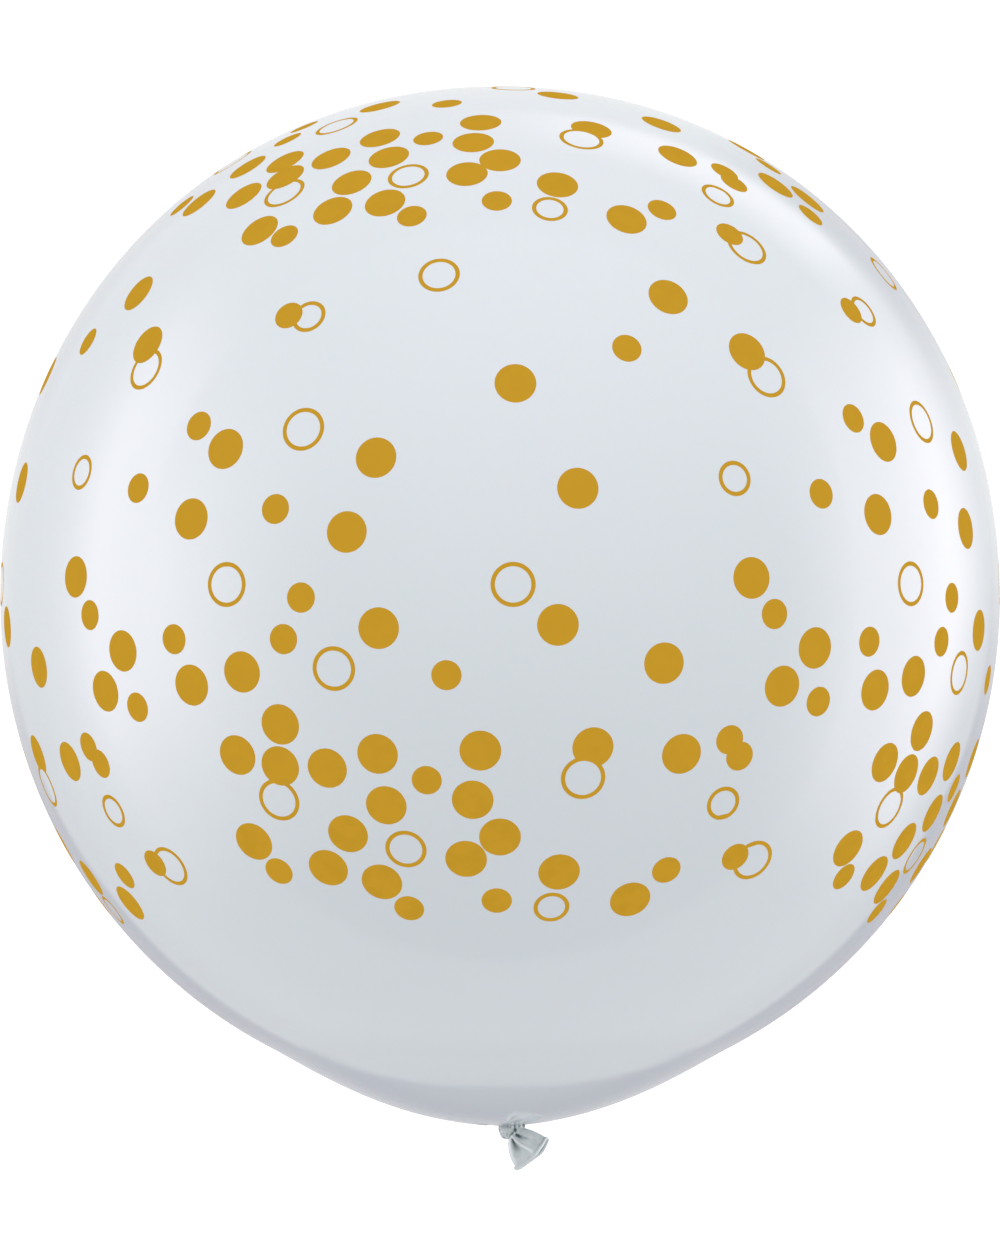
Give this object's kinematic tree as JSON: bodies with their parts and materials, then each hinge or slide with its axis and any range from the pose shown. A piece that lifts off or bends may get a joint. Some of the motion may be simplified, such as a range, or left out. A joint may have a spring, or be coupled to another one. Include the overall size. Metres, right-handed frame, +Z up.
{
  "type": "confetti balloon",
  "caption": "Large round latex balloon printed with confetti dots and rings, inflated and knotted, lying on its side on a small flat spot, with a short rolled tail.",
  "frame": {"origin": "centre of the small flat spot that the balloon lies on, under its widest girth", "axes": "+Y along the balloon's axis from the knot to the crown, +Z up from the flat spot, +X to the side that the tail leans to"},
  "size_m": [0.914, 0.9928, 0.91],
  "materials": {
    "latex": "pale pearl grey latex, satin to glossy, printed all round with flat gold dots and rings"
  },
  "bodies": {
    "root": {"balloon": "latex"}
  },
  "joints": []
}
